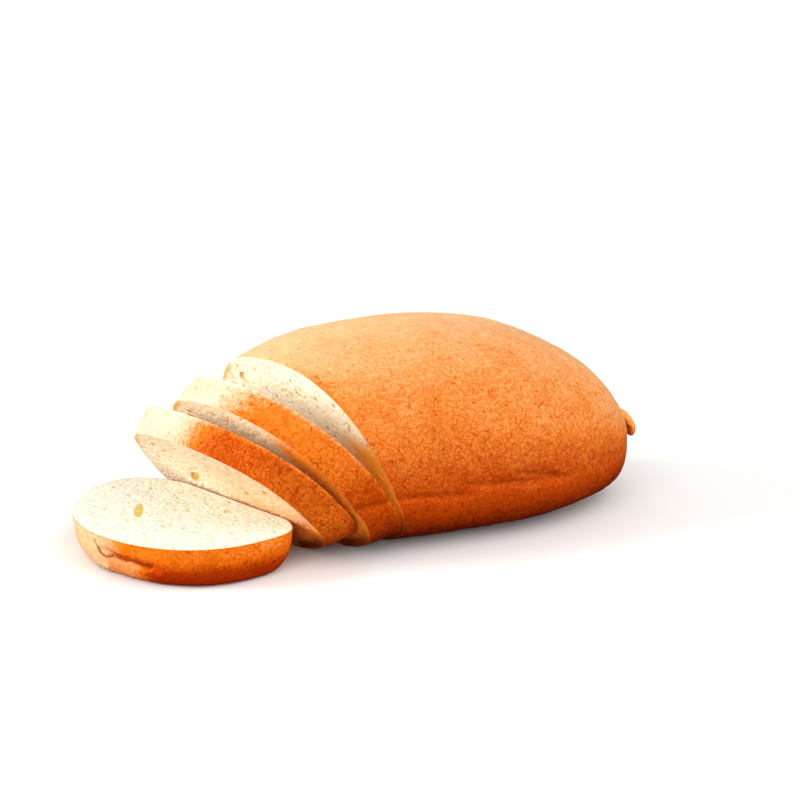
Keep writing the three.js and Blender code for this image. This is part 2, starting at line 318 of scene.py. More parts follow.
def bake_and_light_tone(baked):
    """How brown the crust is, from 0 on the palest crown to 1 and over low on the side. Partly the bake
    and partly painted light and shade: paler on the crown, the back and the left, darker towards the
    foot.
    """
    x, forward = baked[..., 0], -baked[..., 1]
    along = np.clip(np.abs(x) / HALF_LENGTH, 0, 0.97)
    crown = (1 - along**CROWN_POWER) ** (1 / CROWN_ROOT)
    level = (baked[..., 2] - WIDEST_LEVEL) / ((HEIGHT - WIDEST_LEVEL) * crown)

    # Right of the cut: browner to the front and low down and behind the tip, with painted light on the
    # paler back and left crown
    whole = CROWN_TONE + FRONT_TONE * smooth(-60, 90, forward) + SIDE_TONE * smooth(1.0, 0.2, level)
    whole -= LEFT_CROWN_PAINTED_LIGHT * smooth(70, -80, x) * smooth(0.7, 1.0, level)
    low_back = LOW_BACK_TONE * smooth(-20, -80, forward) * smooth(0.9, 0.5, level)
    whole += low_back - PALER_RIGHT * smooth(20, 110, x)
    whole += BEHIND_TIP_TONE * smooth(85, 135, x) * smooth(20, -25, forward)

    # Left of it, on the slices: a sharper change from the pale crown, which is painted light, to the
    # golden front
    uneven = 2.5 * soft_noise(baked, 5.0, PALE_EDGE_SEED)
    left_end = LEFT_END_TONE * np.clip((forward + uneven + 6) / 46, 0, 1) - 0.04
    left_end += LEFT_END_BACK_TONE * smooth(-52, -72, forward)
    beyond_cut = CUT_X - CUT_SKEW * forward + CUT_LEAN * baked[..., 2] - x
    outer = smooth(16, 26, beyond_cut) * smooth(10, 36, forward)
    left_end += outer * (OUTER_FRONT_TONE - PALER_OUTER_SIDE * smooth(0.75, -0.2, level))
    tone = whole + (left_end - whole) * smooth(-14, 10, beyond_cut)

    # Darkest round the foot, partly the bake and partly painted shade
    low_side = (LOW_SIDE_TONE - 0.04 * outer) * smooth(0.5, 0.0, level)
    tone += low_side + (FOOT_TONE - 0.36 * outer) * smooth(0.05, -0.45, level)
    return np.clip(tone + layered_noise(baked, CRUST_PATCHES, PATCH_SEED), 0, 1.4)


def painted_cut_shade(across, up, from_rim, above, below, faint):
    """How far painted shade tints a cut brown: deeply near its rim low on the front side, below two
    levels, and faintly further in. Above 1 it is the darker painted shade of the foot."""
    deep = smooth(-30, -48, across) * smooth(above, below, up) * smooth(40, 15, from_rim)
    further = faint * smooth(20, -35, across) * (smooth(100, 60, up) + 1.4 * smooth(56, 24, up))
    foot = smooth(-20, -50, across) * smooth(34, 8, up) * smooth(14, 3, from_rim)
    return np.maximum(deep, further) + foot


def from_crust(across, up, from_rim):
    """The distance from a cut's rim, drawn in at the back, where the crust is thicker, and let out
    on the crown, where it is too pale to show."""
    back = smooth(30, 52, across) * smooth(106, 90, up) * smooth(50, 66, up)
    crown = smooth(-48, -25, across) * smooth(60, 84, up) * (1 - back)
    return from_rim * (1 - 0.75 * back) + 1.5 * crown


def ragged_rim(rim, seed):
    """A cut's rim, a little uneven where the knife dragged the crust."""
    uneven = layered_noise(rim, RAGGED_RIM, seed)
    return rim + uneven[:, None] * unit(rim - rim.mean(axis=0))


def grid_normals(grid):
    """Outward unit normals of rings of points."""
    round_way = np.roll(grid, -1, axis=1) - np.roll(grid, 1, axis=1)
    return unit(np.cross(round_way, np.gradient(grid, axis=0)))


def ring_triangles(start, rows, columns):
    """Triangles between rings of points that follow one another from a start index."""
    row, column = np.mgrid[0:rows - 1, 0:columns]
    a = start + row * columns + column
    b = start + row * columns + (column + 1) % columns
    return np.concatenate([
        np.stack([a, b, a + columns], -1).reshape(-1, 3),
        np.stack([b, b + columns, a + columns], -1).reshape(-1, 3)])


def stitch_rim(rim, ring):
    """Triangles between a face's rim and a crust ring with half as many points."""
    after = np.roll(ring, -1)
    near, between, far = rim[0::2], rim[1::2], np.roll(rim[0::2], -1)
    return np.concatenate([
        np.stack([near, between, ring], -1), np.stack([between, after, ring], -1),
        np.stack([between, far, after], -1)])


def bread_mesh(name, points, crust, crumb, rims, tones, materials):
    """One closed piece in metres: crust and crumb triangles, sharp along the cut's rims."""
    mesh = bpy.data.meshes.new(name)
    triangles = np.concatenate([crust, crumb]).astype(np.int32)
    mesh.vertices.add(len(points))
    mesh.vertices.foreach_set("co", (points * MM).astype(np.float32).ravel())
    mesh.loops.add(triangles.size)
    mesh.loops.foreach_set("vertex_index", triangles.ravel())
    mesh.polygons.add(len(triangles))
    mesh.polygons.foreach_set("loop_start", np.arange(0, triangles.size, 3, dtype=np.int32))
    mesh.polygons.foreach_set(
        "material_index", np.repeat([0, 1], [len(crust), len(crumb)]).astype(np.int32))
    mesh.update(calc_edges=True)
    ends = np.zeros(len(mesh.edges) * 2, np.int32)
    mesh.edges.foreach_get("vertices", ends)
    on_rim = np.zeros(len(points), bool)
    on_rim[rims] = True
    sharp = mesh.attributes.new("sharp_edge", "BOOLEAN", "EDGE")
    sharp.data.foreach_set("value", on_rim[ends.reshape(-1, 2)].all(axis=1))
    for label, values in tones.items():
        tone = mesh.attributes.new(label, "FLOAT", "POINT")
        tone.data.foreach_set("value", values.astype(np.float32))
    for material in materials:
        mesh.materials.append(material)
    mesh.validate()
    piece = bpy.data.objects.new(name, mesh)
    bpy.context.scene.collection.objects.link(piece)
    return piece


def add_node(tree, kind, inputs=None, **settings):
    """A shader node with its settings, and its inputs linked or set."""
    made = tree.nodes.new(kind)
    for name, value in settings.items():
        setattr(made, name, value)
    for socket, value in (inputs or {}).items():
        if isinstance(value, bpy.types.NodeSocket):
            tree.links.new(value, made.inputs[socket])
        else:
            made.inputs[socket].default_value = value
    return made


def arithmetic(tree, operation, *values):
    return add_node(tree, "ShaderNodeMath", dict(enumerate(values)), operation=operation).outputs[0]


def noise(tree, vector, scale, detail, roughness=0.5, distortion=0.0, gives="Fac"):
    """A noise texture's output."""
    inputs = {"Vector": vector, "Scale": scale, "Detail": detail, "Roughness": roughness,
              "Distortion": distortion}
    return add_node(tree, "ShaderNodeTexNoise", inputs).outputs[gives]


def ease(tree, value, start, end, low=0.0, high=1.0, way="SMOOTHSTEP"):
    """A value carried from one range to another, held at its ends."""
    inputs = {"Value": value, "From Min": start, "From Max": end, "To Min": low, "To Max": high}
    return add_node(tree, "ShaderNodeMapRange", inputs, interpolation_type=way).outputs["Result"]


def blend_colours(tree, share, first, second, way="MIX"):
    made = add_node(tree, "ShaderNodeMix", {"Factor": share}, data_type="RGBA", blend_type=way)
    for socket, value in ((6, first), (7, second)):
        if isinstance(value, bpy.types.NodeSocket):
            tree.links.new(value, made.inputs[socket])
        else:
            made.inputs[socket].default_value = value
    return made.outputs[2]


def new_group(name, takes, gives):
    """An empty shader group with its named sockets."""
    group = bpy.data.node_groups.new(name, "ShaderNodeTree")
    for label, kind, value in takes:
        group.interface.new_socket(label, in_out="INPUT", socket_type=kind).default_value = value
    for label, kind in gives:
        group.interface.new_socket(label, in_out="OUTPUT", socket_type=kind)
    return group, group.nodes.new("NodeGroupInput").outputs, group.nodes.new("NodeGroupOutput").inputs


FLOAT = "NodeSocketFloat"
COLOUR = "NodeSocketColor"

# Leathery crust: its tone runs from pale through golden and deep to burnt, over broad patches and a
# fine grain, and is darker in the winding wrinkles and the flecks, with painted shade in the creases
crust_skin, taken, given = new_group(
    "crust_skin",
    [("Bake", FLOAT, 0.5), ("Shade In Creases", FLOAT, 0.0), ("Pale", COLOUR, (0.9, 0.6, 0.3, 1)),
     ("Golden", COLOUR, (0.8, 0.3, 0.1, 1)), ("Deep", COLOUR, (0.5, 0.15, 0.03, 1)),
     ("Burnt", COLOUR, (0.2, 0.05, 0.01, 1)), ("Mottle", FLOAT, 0.3), ("Wrinkle Tone", FLOAT, 0.2)],
    [("Color", COLOUR), ("Roughness", FLOAT), ("Height", FLOAT)])
place = add_node(crust_skin, "ShaderNodeTexCoord").outputs["Object"]
winding = noise(crust_skin, place, scale=300.0, detail=3.0, roughness=0.65, distortion=0.4)
grain = noise(crust_skin, place, scale=700.0, detail=2.0, roughness=0.6)
patches = noise(crust_skin, place, scale=55.0, detail=4.0, roughness=0.65)
flecks = ease(crust_skin, noise(crust_skin, place, scale=330.0, detail=1.0, distortion=0.6), 0.6, 0.7)
ridge = arithmetic(crust_skin, "ABSOLUTE", arithmetic(crust_skin, "SUBTRACT", winding, 0.5))
groove = ease(crust_skin, ridge, 0.0, 0.05, 1.0, 0.0)
toned = taken["Bake"]
for texture in (patches, grain):
    uneven = arithmetic(crust_skin, "SUBTRACT", texture, 0.5)
    mottled = arithmetic(crust_skin, "MULTIPLY", uneven, taken["Mottle"])
    toned = arithmetic(crust_skin, "ADD", toned, mottled)
darkening = ease(crust_skin, taken["Bake"], 0.0, 0.5, 0.3, 1.0)
etched = arithmetic(crust_skin, "MULTIPLY", groove, darkening)
marks = arithmetic(crust_skin, "ADD", etched, flecks)
toned = arithmetic(crust_skin, "MULTIPLY_ADD", marks, taken["Wrinkle Tone"], toned)
golden_share = ease(crust_skin, toned, -0.04, 0.52, way="LINEAR")
colour = blend_colours(crust_skin, golden_share, taken["Pale"], taken["Golden"])
colour = blend_colours(crust_skin, ease(crust_skin, toned, 0.4, 1.0), colour, taken["Deep"])
# The burnt share: the darkest bake, and painted shade in the creases
brown_and_painted_shade = arithmetic(crust_skin, "MAXIMUM", ease(crust_skin, toned, 1.0, 1.5), taken["Shade In Creases"])
colour = blend_colours(crust_skin, brown_and_painted_shade, colour, taken["Burnt"])
raised = arithmetic(crust_skin, "MULTIPLY", grain, 0.5)
raised = arithmetic(crust_skin, "MULTIPLY_ADD", groove, -0.5, raised)
crust_skin.links.new(colour, given["Color"])
crust_skin.links.new(ease(crust_skin, groove, 0.0, 1.0, 0.5, 0.68), given["Roughness"])
crust_skin.links.new(raised, given["Height"])

# Soft crumb: a fine net of pores in cream with painted shade in the open cells, a yellower tint in the
# large holes that is partly painted light, a ragged golden line of crust round the cut, and painted
# brown shade low on its front, darkest at the foot
crumb_pores, taken, given = new_group(
    "crumb_pores",
    [("Pore", FLOAT, 0.0), ("From Rim", FLOAT, 10.0), ("Cream", COLOUR, (0.9, 0.85, 0.65, 1)),
     ("Shade", COLOUR, (0.75, 0.6, 0.35, 1)), ("Crust Line", COLOUR, (0.7, 0.35, 0.1, 1)),
     ("Line Width", FLOAT, 0.9), ("Net", FLOAT, 0.3), ("Painted Shade", FLOAT, 0.0),
     ("Painted Shade Colour", COLOUR, (0.5, 0.15, 0.03, 1)), ("Hollow", COLOUR, (0.9, 0.7, 0.3, 1)),
     ("Darkest Painted Shade", COLOUR, (0.2, 0.03, 0.003, 1))],
    [("Color", COLOUR), ("Roughness", FLOAT), ("Height", FLOAT)])
place = add_node(crumb_pores, "ShaderNodeTexCoord").outputs["Object"]
bend = noise(crumb_pores, place, scale=240.0, detail=2.0, gives="Color")
bent = add_node(crumb_pores, "ShaderNodeVectorMath", {0: bend, 1: (0.003, 0.003, 0.003), 2: place},
                operation="MULTIPLY_ADD").outputs[0]
cells = add_node(
    crumb_pores, "ShaderNodeTexVoronoi", {"Vector": bent, "Scale": 430.0}).outputs["Distance"]
specks = noise(crumb_pores, place, scale=420.0, detail=3.0, roughness=0.7)
clouds = noise(crumb_pores, place, scale=45.0, detail=3.0)
# Painted shade: the open cells and the sunk pores are drawn darker, towards the Shade colour
open_cell = ease(crumb_pores, cells, 0.1, 0.45, 1.0, 0.0)
shade = arithmetic(crumb_pores, "MULTIPLY", open_cell, specks)
shade = arithmetic(crumb_pores, "MULTIPLY", shade, taken["Net"])
shade = arithmetic(crumb_pores, "ADD", shade, ease(crumb_pores, clouds, 0.35, 0.8, 0.0, 0.18))
painted_pore_shade = ease(crumb_pores, taken["Pore"], 0.05, 0.55, 0.0, 0.85)
shade = arithmetic(crumb_pores, "MAXIMUM", shade, painted_pore_shade)
colour = blend_colours(crumb_pores, shade, taken["Cream"], taken["Shade"])
# A yellower tint in the large holes, partly their colour and partly painted light against their shade
hollow = ease(crumb_pores, taken["Pore"], 1.2, 2.2)
colour = blend_colours(crumb_pores, hollow, colour, taken["Hollow"])
ragged = arithmetic(crumb_pores, "ADD", taken["From Rim"], -0.8)
ragged = arithmetic(crumb_pores, "MULTIPLY_ADD", specks, 1.6, ragged)
edge = arithmetic(crumb_pores, "DIVIDE", ragged, taken["Line Width"])
crust_line = ease(crumb_pores, edge, 0.3, 1.5, 1.0, 0.0)
colour = blend_colours(crumb_pores, crust_line, colour, taken["Crust Line"])
# Painted shade: brown low on the front of the cut, darkest at the foot
colour = blend_colours(crumb_pores, taken["Painted Shade"], colour, taken["Painted Shade Colour"])
painted_foot_shade = ease(crumb_pores, taken["Painted Shade"], 1.0, 2.0)
colour = blend_colours(crumb_pores, painted_foot_shade, colour, taken["Darkest Painted Shade"])
crumb_pores.links.new(colour, given["Color"])
crumb_pores.links.new(ease(crumb_pores, shade, 0.0, 1.0, 0.85, 0.95), given["Roughness"])
raised = arithmetic(crumb_pores, "MULTIPLY_ADD", open_cell, -0.6, specks)
crumb_pores.links.new(raised, given["Height"])


BUMP_REACH = 0.0004
SCATTER_REACH = 0.008


def shaded(name, group, tones, values, scattered, scatter_colours, gloss):
    """A material whose colour, roughness and bump come from a group, fed by the mesh's tones."""
    material = bpy.data.materials.new(name)
    material.use_nodes = True
    tree = material.node_tree
    surface = tree.nodes["Principled BSDF"]
    look = add_node(tree, "ShaderNodeGroup", node_tree=group)
    for socket, label in tones.items():
        tone = add_node(tree, "ShaderNodeAttribute", attribute_name=label, attribute_type="GEOMETRY")
        tree.links.new(tone.outputs["Fac"], look.inputs[socket])
    for socket, value in values.items():
        look.inputs[socket].default_value = value
    relief = add_node(tree, "ShaderNodeBump", {
        "Strength": 1.0, "Distance": BUMP_REACH, "Height": look.outputs["Height"]})
    tree.links.new(look.outputs["Color"], surface.inputs["Base Color"])
    tree.links.new(look.outputs["Roughness"], surface.inputs["Roughness"])
    tree.links.new(relief.outputs["Normal"], surface.inputs["Normal"])
    surface.inputs["Subsurface Weight"].default_value = scattered
    surface.inputs["Subsurface Radius"].default_value = scatter_colours
    surface.inputs["Subsurface Scale"].default_value = SCATTER_REACH
    surface.inputs["Specular IOR Level"].default_value = gloss
    return material


def crust_material(name, pale, golden, deep, burnt, mottle, wrinkle_tone):
    return shaded(
        name, crust_skin, {"Bake": "bake_and_light", "Shade In Creases": "crease"},
        {"Pale": pale, "Golden": golden, "Deep": deep, "Burnt": burnt, "Mottle": mottle,
         "Wrinkle Tone": wrinkle_tone}, scattered=0.0, scatter_colours=(1.0, 0.4, 0.1), gloss=0.03)


def crumb_material(name, cream, shade_colour, hollow_colour, line, painted_shade, line_width, net):
    return shaded(
        name, crumb_pores, {"Pore": "pore", "From Rim": "from_rim", "Painted Shade": "brown_and_painted_shade"},
        {"Cream": cream, "Shade": shade_colour, "Hollow": hollow_colour, "Crust Line": line,
         "Painted Shade Colour": painted_shade, "Line Width": line_width, "Net": net},
        scattered=0.5, scatter_colours=(1.0, 0.4, 0.15), gloss=0.1)


def on_part(piece, node):
    """The piece rides on the bread and takes its CAD solid's place."""
    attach(piece, "root")
    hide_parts(node)


# The rim is evenly spaced on the knife's plane; every second point starts a line of crust to the tip
loaf_angles = even_angles(lambda angle: crust_at_cut(angle, 0), 4 * FACE_CELLS)
loaf_rim = crust_at_cut(loaf_angles, 0)
line_angles = loaf_angles[::2]
line_starts = loaf_rim[::2, 0]
shares = np.sin(np.arange(LOAF_ROWS + 1) / LOAF_ROWS * np.pi / 2) * TIP_SHARE
loaf_x = line_starts + (HALF_LENGTH - line_starts) * shares[:, None]
loaf_crust = crust_point(loaf_x, np.broadcast_to(line_angles, loaf_x.shape))
loaf_skin = skin_relief(loaf_crust) * smooth(0, SKIN_FADE, loaf_x - line_starts)
loaf_crust = loaf_crust + loaf_skin[..., None] * grid_normals(loaf_crust)

face, from_rim, face_triangles, rim_order = spread_face(
    ragged_rim(loaf_rim, LOAF_RIM_SEED), FACE_CELLS)
cut_foot = np.array([CUT_X, 0, 0])
across = (face - cut_foot) @ cut_across
up = (face - cut_foot) @ cut_up
pores, depth = crumb_depth(across, up, from_rim, [LOAF_HOLE], LOAF_CRUMB_SEED)
face = face + (depth * (from_rim > 0))[:, None] * cut_normal

tip = len(face) + LOAF_ROWS * len(line_angles)
last_ring = tip - len(line_angles) + np.arange(len(line_angles))
loaf_points = np.concatenate([face, loaf_crust[1:].reshape(-1, 3), loaf_crust[-1].mean(axis=0)[None]])
loaf_points[:, 2] = np.maximum(loaf_points[:, 2], 0)
loaf_shell = np.concatenate([
    stitch_rim(rim_order, len(face) + np.arange(len(line_angles))),
    ring_triangles(len(face), LOAF_ROWS, len(line_angles)),
    np.stack([last_ring, np.roll(last_ring, -1), np.full(len(last_ring), tip)], -1)])

on_face = np.arange(len(loaf_points)) < len(face)
bare_crust = np.zeros(len(loaf_points) - len(face))
# The crust's tone carries painted light and shade, its crease line painted shade, and the cut painted
# brown shade low on its front
loaf_tones = {
    "bake_and_light": bake_and_light_tone(loaf_points),
    "crease": CREASE_PAINTED_SHADE * crease_at(*loaf_points.T)[1] * ~on_face,
    "pore": np.append(pores, bare_crust),
    "from_rim": np.append(from_crust(across, up, from_rim), bare_crust),
    "brown_and_painted_shade": np.append(painted_cut_shade(across, up, from_rim, *LOAF_PAINTED_SHADE), bare_crust),
}

LOAF_CRUST = crust_material(
    "loaf_crust", (0.8, 0.53, 0.27, 1), (0.81, 0.228, 0.032, 1), (0.5, 0.06, 0.001, 1),
    (0.17, 0.012, 0.0005, 1), 0.28, 0.2)
LOAF_CRUMB = crumb_material(
    "loaf_crumb", (0.88, 0.83, 0.67, 1), (0.62, 0.4, 0.19, 1), (0.95, 0.88, 0.66, 1),
    (0.76, 0.42, 0.14, 1), (0.86, 0.31, 0.03, 1), 0.9, 0.9)

loaf = bread_mesh(
    "loaf_uncut", loaf_points + LOAF_ORIGIN, loaf_shell, face_triangles[:, ::-1],
    rim_order, loaf_tones, [LOAF_CRUST, LOAF_CRUMB])
on_part(loaf, "loaf")

# The knob at the loaf's right tip: the dough's pinched end, which rose, curled over and baked to
# a flat flap that hangs clear of the crust, darker on the side that it turns to it: painted shade
# under the flap.

KNOB_PATH = np.array([[139, -2, 41], [148.5, -2.5, 43], [154, -4, 37.5], [156.5, -5, 29]])
KNOB_HALF_WIDTH = 7
KNOB_HALF_THICKNESS = 3.4
KNOB_TAPER = 0.25
KNOB_ROUND_FROM = 0.72
KNOB_ROUND_OVER = 0.3
KNOB_LUMPS = [{"cell": 4.2, "height": 0.55}, {"cell": 1.8, "height": 0.25}]
KNOB_SEED = 80
KNOB_TONE = 0.2
KNOB_UNDERSIDE_PAINTED_SHADE = 0.7
KNOB_ROOT_TONE = 0.6
KNOB_END_TONE = 0.9
KNOB_ROWS = 60
KNOB_COLUMNS = 72
CURVE_STEPS = 60


def smooth_path(points, rows):
    """Evenly spaced points on a smooth curve through a few."""
    held = np.concatenate([[2 * points[0] - points[1]], points, [2 * points[-1] - points[-2]]])
    fine = []
    for before, start, end, after in zip(held, held[1:], held[2:], held[3:]):
        t = np.linspace(0, 1, CURVE_STEPS)[:, None]
        fine.append(0.5 * (2 * start + (end - before) * t
                           + (2 * before - 5 * start + 4 * end - after) * t**2
                           + (3 * start - before - 3 * end + after) * t**3))
    fine = np.concatenate(fine)
    length = np.concatenate([[0], np.cumsum(np.linalg.norm(np.diff(fine, axis=0), axis=1))])
    even = np.linspace(0, length[-1], rows)
    return np.stack([np.interp(even, length, fine[:, axis]) for axis in range(3)], -1)


knob_line = smooth_path(KNOB_PATH, KNOB_ROWS)
knob_ahead = unit(np.gradient(knob_line, axis=0))
knob_side = unit(np.array([0, 1, 0]) - knob_ahead[:, 1:2] * knob_ahead)
knob_lift = np.cross(knob_ahead, knob_side)
along = np.linspace(0, 1, KNOB_ROWS)
draw = np.sqrt(1 - np.clip((along - KNOB_ROUND_FROM) / KNOB_ROUND_OVER, 0, 1) ** 2)
turn = np.linspace(0, 2 * np.pi, KNOB_COLUMNS, endpoint=False)
half_width = KNOB_HALF_WIDTH * draw * (1 - KNOB_TAPER * along)
knob = (knob_line[:, None] + (half_width[:, None] * np.cos(turn))[..., None] * knob_side[:, None]
        + (KNOB_HALF_THICKNESS * draw[:, None] * np.sin(turn))[..., None] * knob_lift[:, None])
lumps = layered_noise(knob, KNOB_LUMPS, KNOB_SEED)
knob = knob - (lumps * draw[:, None])[..., None] * grid_normals(knob)
knob_points = np.concatenate([
    knob.reshape(-1, 3), knob[0].mean(axis=0)[None], knob[-1].mean(axis=0)[None]])
first = np.arange(KNOB_COLUMNS)
last = first + (KNOB_ROWS - 1) * KNOB_COLUMNS
root, free_end = len(knob_points) - 2, len(knob_points) - 1
knob_shell = np.concatenate([
    ring_triangles(0, KNOB_ROWS, KNOB_COLUMNS),
    np.stack([np.roll(first, -1), first, np.full(KNOB_COLUMNS, root)], -1),
    np.stack([last, np.roll(last, -1), np.full(KNOB_COLUMNS, free_end)], -1)])
lifted = np.einsum(
    "ijk,ijk->ij", knob - knob_line[:, None], np.broadcast_to(knob_lift[:, None], knob.shape))
# Painted shade: the flap's underside, turned to the crust, is drawn darker
under = smooth(0.2, -1.0, lifted / KNOB_HALF_THICKNESS)
knob_bake_and_shade = KNOB_TONE + KNOB_UNDERSIDE_PAINTED_SHADE * under + 0.15 * soft_noise(knob, 5.0, KNOB_SEED + 2)
knob_tones = {
    "bake_and_light": np.append(knob_bake_and_shade, [KNOB_ROOT_TONE, KNOB_END_TONE]),
    "crease": np.zeros(len(knob_points)),
}

# The knob's crust is given brighter colours than the loaf's: painted light on a part the lamps leave in
# shade
KNOB_CRUST = crust_material(
    "knob_crust", (0.98, 0.41, 0.11, 1), (0.96, 0.34, 0.06, 1), (0.5, 0.08, 0.006, 1),
    (0.13, 0.012, 0.001, 1), 0.4, 0.2)

knob_piece = bread_mesh(
    "loaf_knob", knob_points + LOAF_ORIGIN, knob_shell, np.zeros((0, 3), int), [], knob_tones,
    [KNOB_CRUST])
on_part(knob_piece, "loaf")

# The two slices, cut one after the other from the uncut part. Each is about as thick as a thumb,
# with crust all round and crumb on both cuts. Soft enough to bow, each keeps its foot by its
# neighbour's and has toppled to the left.

SLICES = [
    {"name": "slice_upper", "thickness": 18.5, "topple": 13.4, "yaw": 4.0, "roll": 1.3, "bow": 3.0,
     "slide": (-5.7, -4.3), "brown_and_painted_shade": (104, 80, 0.1), "holes": [], "seed": 100},
    {"name": "slice_lower", "thickness": 17.7, "topple": 21.5, "yaw": 6.2, "roll": 1.1, "bow": 3.5,
     "slide": (-11.2, -1.5), "brown_and_painted_shade": (42, 24, 0.3), "seed": 200,
     "holes": [
         {"across": 24, "up": 40, "width": 19, "height": 7, "depth": 3.2, "turn": np.radians(-45)},
     ]},
]
RIGHT_CUT_PAINTED_SHADE = (30, 12, 0.04)
RIGHT_EDGE_PAINTED_HIGHLIGHT = 0.2
SLICE_CREASE_PAINTED_SHADE = 0.1
PRESSED_PERCENT = 0.02
BACK_FACE_CELLS = 100
SLICE_ROWS = 15

# The slices' pale is near cream: painted light on their crown
SLICE_CRUST = crust_material(
    "slice_crust", (0.82, 0.71, 0.5, 1), (0.84, 0.205, 0.015, 1), (0.47, 0.058, 0.001, 1),
    (0.17, 0.012, 0.0005, 1), 0.3, 0.22)
# Their crumb is warmer than the loaf's: painted shade for the gaps between the slices
SLICE_CRUMB = crumb_material(
    "slice_crumb", (0.9, 0.76, 0.57, 1), (0.66, 0.38, 0.15, 1), (0.95, 0.62, 0.17, 1),
    (0.8, 0.42, 0.13, 1), (0.95, 0.3, 0.03, 1), 0.9, 0.9)


def turned(angle, axis):
    return np.array(Matrix.Rotation(np.radians(angle), 3, Vector(axis)))


def cut_face(rim, foot, cells, side, brown_and_painted_shade, holes, seed):
    """One cut's points, with its pores sunk into the slice."""
    flat, from_edge, triangles, order = spread_face(ragged_rim(rim, seed + 60), cells)
    across, up = (flat - foot) @ cut_across, (flat - foot) @ cut_up
    pore, sunk = crumb_depth(across, up, from_edge, holes, seed)
    points = flat + (side * sunk * (from_edge > 0))[:, None] * cut_normal
    # Painted shade, brown low on the front of the cut
    painted_shade = painted_cut_shade(across, up, from_edge, *brown_and_painted_shade)
    return points, from_crust(across, up, from_edge), painted_shade, pore, triangles, order


shift = 0.0
for slice_ in SLICES:
    left_shift = shift + slice_["thickness"] / cut_normal[0]
    foot = np.array([CUT_X - left_shift, 0, 0])
    angles = even_angles(lambda angle: crust_at_cut(angle, left_shift), 4 * FACE_CELLS)
    rings = np.stack([
        crust_at_cut(angles[::2], step) for step in np.linspace(left_shift, shift, SLICE_ROWS)])
    top = ((rings[-1] - foot) @ cut_up).max()
    rows_in = np.minimum(np.arange(SLICE_ROWS), np.arange(SLICE_ROWS)[::-1])[:, None]
    skin = skin_relief(rings) * np.clip(rows_in / 2, 0, 1)
    crust = rings + skin[..., None] * grid_normals(rings)

    left, left_from, left_painted_shade, left_pore, left_triangles, left_order = cut_face(
        crust_at_cut(angles, left_shift), foot, FACE_CELLS, 1, slice_["brown_and_painted_shade"], slice_["holes"],
        slice_["seed"])
    right, right_from, right_painted_shade, right_pore, right_triangles, right_order = cut_face(
        rings[-1], foot, BACK_FACE_CELLS, -1, RIGHT_CUT_PAINTED_SHADE, [], slice_["seed"] + 50)

    columns = len(angles) // 2
    right_start = len(left) + (SLICE_ROWS - 2) * columns
    baked = np.concatenate([left, crust[1:-1].reshape(-1, 3), right])
    inner_start = len(left) + (SLICE_ROWS - 3) * columns
    last_inner = inner_start + np.arange(columns)
    right_ring = right_start + right_order
    shell = np.concatenate([
        stitch_rim(left_order, len(left) + np.arange(columns)),
        ring_triangles(len(left), SLICE_ROWS - 2, columns),
        np.stack([last_inner, np.roll(last_inner, -1), right_ring], -1),
        np.stack([np.roll(last_inner, -1), np.roll(right_ring, -1), right_ring], -1)])

    standing = baked - foot
    height = np.clip(standing @ cut_up / top, 0, 1)
    standing = standing + (4 * slice_["bow"] * height * (1 - height))[:, None] * cut_normal
    level_across = unit(np.array([cut_normal[0], cut_normal[1], 0]))
    pose = turned(slice_["yaw"], (0, 0, 1)) @ turned(slice_["roll"], level_across)
    pose = pose @ turned(-slice_["topple"], cut_across)
    resting = standing @ pose.T + [foot[0] + slice_["slide"][0], slice_["slide"][1], 0]
    resting[:, 2] -= np.percentile(resting[:, 2], PRESSED_PERCENT)
    resting[:, 2] = np.maximum(resting[:, 2], 0)

    bare_crust = np.zeros((SLICE_ROWS - 2) * columns)
    # A painted highlight: the crust's edge by the right cut is drawn paler, as where the rim catches
    # light
    right_edge_highlight = np.zeros((SLICE_ROWS - 2, columns))
    right_edge_highlight[-1] = 0.5
    right_edge_highlight = np.concatenate([np.zeros(len(left)), right_edge_highlight.ravel(), np.ones(len(right))])
    crease_shade_line = crease_at(*baked.T)[1]
    crease_shade_line[:len(left)] = 0
    crease_shade_line[right_start:] = 0
    # As on the loaf: painted light and shade in the crust's tone and creases, a painted highlight by
    # the right cut, painted brown shade on the cuts
    tones = {
        "bake_and_light": bake_and_light_tone(baked) - RIGHT_EDGE_PAINTED_HIGHLIGHT * right_edge_highlight,
        "crease": SLICE_CREASE_PAINTED_SHADE * crease_shade_line,
        "pore": np.concatenate([left_pore, bare_crust, right_pore]),
        "from_rim": np.concatenate([left_from, bare_crust, right_from]),
        "brown_and_painted_shade": np.concatenate([left_painted_shade, bare_crust, right_painted_shade]),
    }
    piece = bread_mesh(
        slice_["name"] + "_bread", resting + LOAF_ORIGIN, shell,
        np.concatenate([left_triangles[:, ::-1], right_triangles + right_start]),
        np.concatenate([left_order, right_ring]), tones, [SLICE_CRUST, SLICE_CRUMB])
    on_part(piece, slice_["name"])
    shift = left_shift

# The end piece, cut off first and laid down on its rounded end. Its crust is pressed flat under
# it and has torn along a ragged line on the left, with pale torn patches and a scorched spot.

HEEL_FOOT = np.array([-110.6, -8.6, 0])
HEEL_HEIGHT = 24.5
HEEL_YAW = 5.9
HEEL_HALF_WIDTH = 72
HEEL_LENGTH = 96
HEEL_WIDEST_LEVEL = 30
HEEL_FRONT_ROUNDNESS = (2.25, 3.4)
HEEL_BACK_ROUNDNESS = (1.85, 2.4)
HEEL_BASE_ACROSS = 0.8
HEEL_BASE_UP = 0.64
HEEL_CENTRE_UP = 46
HEEL_FULLNESS = 0.6
HEEL_HOLES = [
    {"across": 19, "up": 51, "width": 5.5, "height": 27, "depth": 3.5, "turn": np.radians(48)},
]
HEEL_ROWS = 50
HEEL_SEED = 300
HEEL_BAKED_X = -115
HEEL_BASE_TONE = 0.62

